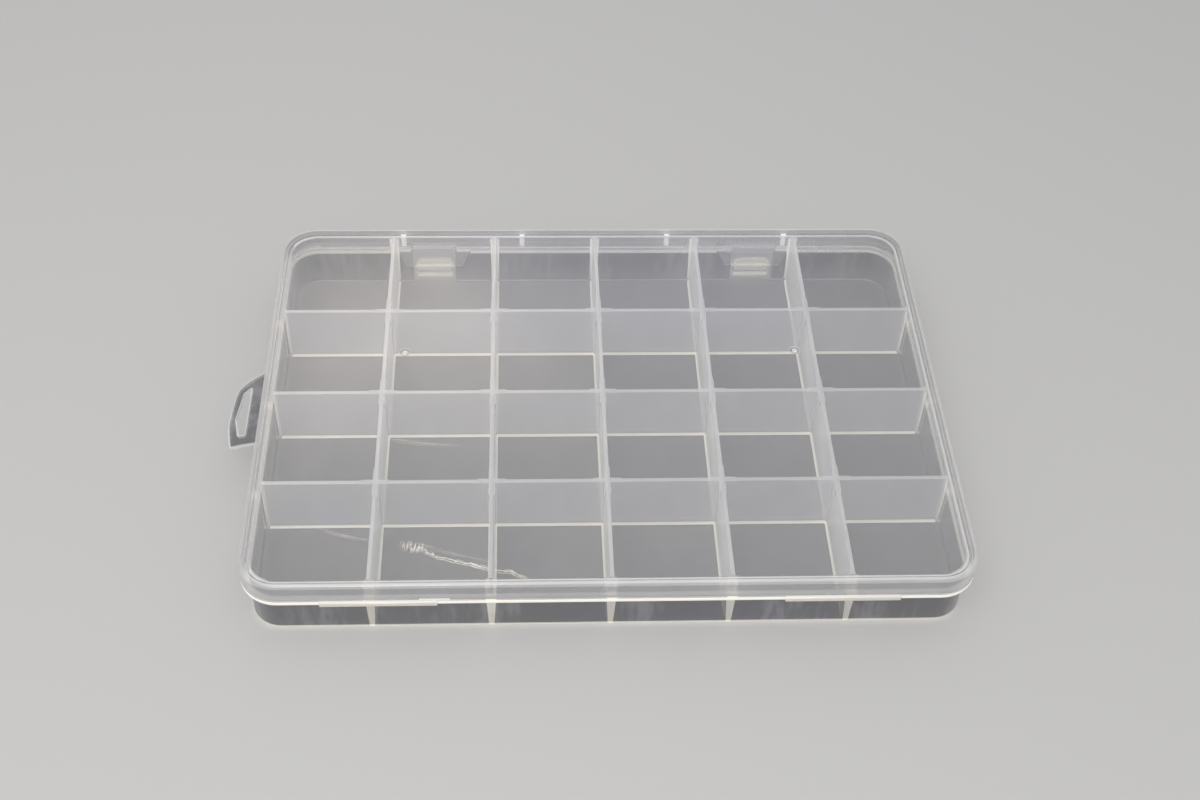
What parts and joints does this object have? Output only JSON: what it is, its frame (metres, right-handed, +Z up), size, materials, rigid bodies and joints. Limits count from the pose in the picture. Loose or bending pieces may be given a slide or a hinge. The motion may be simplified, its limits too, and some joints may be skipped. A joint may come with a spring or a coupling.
{
  "type": "compartment storage box",
  "caption": "Flat clear plastic box with a grid of fixed compartments, a hinged lid, two snap latches and a slotted hang tab.",
  "frame": {"origin": "centre of the tray's underside", "axes": "+X along the box, away from the hang tab; +Y from the hinge side to the latch side; +Z up out of the tray"},
  "size_m": [0.205, 0.1443, 0.02],
  "materials": {
    "clear_shell": "smooth, clear with a slight milk",
    "clear_divider": "smooth, a little milkier than the shell",
    "clear_tab": "smooth, thin and clear",
    "clear_strip": "smooth, flexible",
    "milky_latch": "smooth, milky where it is thick"
  },
  "bodies": {
    "base": {"base_tray": "clear_shell", "column_divider_1": "clear_divider", "column_divider_2": "clear_divider", "column_divider_3": "clear_divider", "column_divider_4": "clear_divider", "column_divider_5": "clear_divider", "row_divider_1": "clear_divider", "row_divider_2": "clear_divider", "row_divider_3": "clear_divider", "hang_tab": "clear_tab"},
    "lid": {"lid": "clear_shell", "hinge_strip_left": "clear_strip", "hinge_strip_right": "clear_strip", "latch_strip_left": "clear_strip", "latch_strip_right": "clear_strip"},
    "latch_left": {"latch_left": "milky_latch"},
    "latch_right": {"latch_right": "milky_latch"}
  },
  "joints": [
    {"name": "lid_hinge", "type": "hinge", "parent": "base", "child": "lid", "pos_m": [0, -0.0719, 0.01385], "axis": [1, 0, 0], "range_deg": [0, 180]},
    {"name": "latch_left_hinge", "type": "hinge", "parent": "lid", "child": "latch_left", "pos_m": [-0.0511, 0.07115, 0.01335], "axis": [1, 0, 0], "range_deg": [0, 90]},
    {"name": "latch_right_hinge", "type": "hinge", "parent": "lid", "child": "latch_right", "pos_m": [0.0511, 0.07115, 0.01335], "axis": [1, 0, 0], "range_deg": [0, 90]}
  ]
}
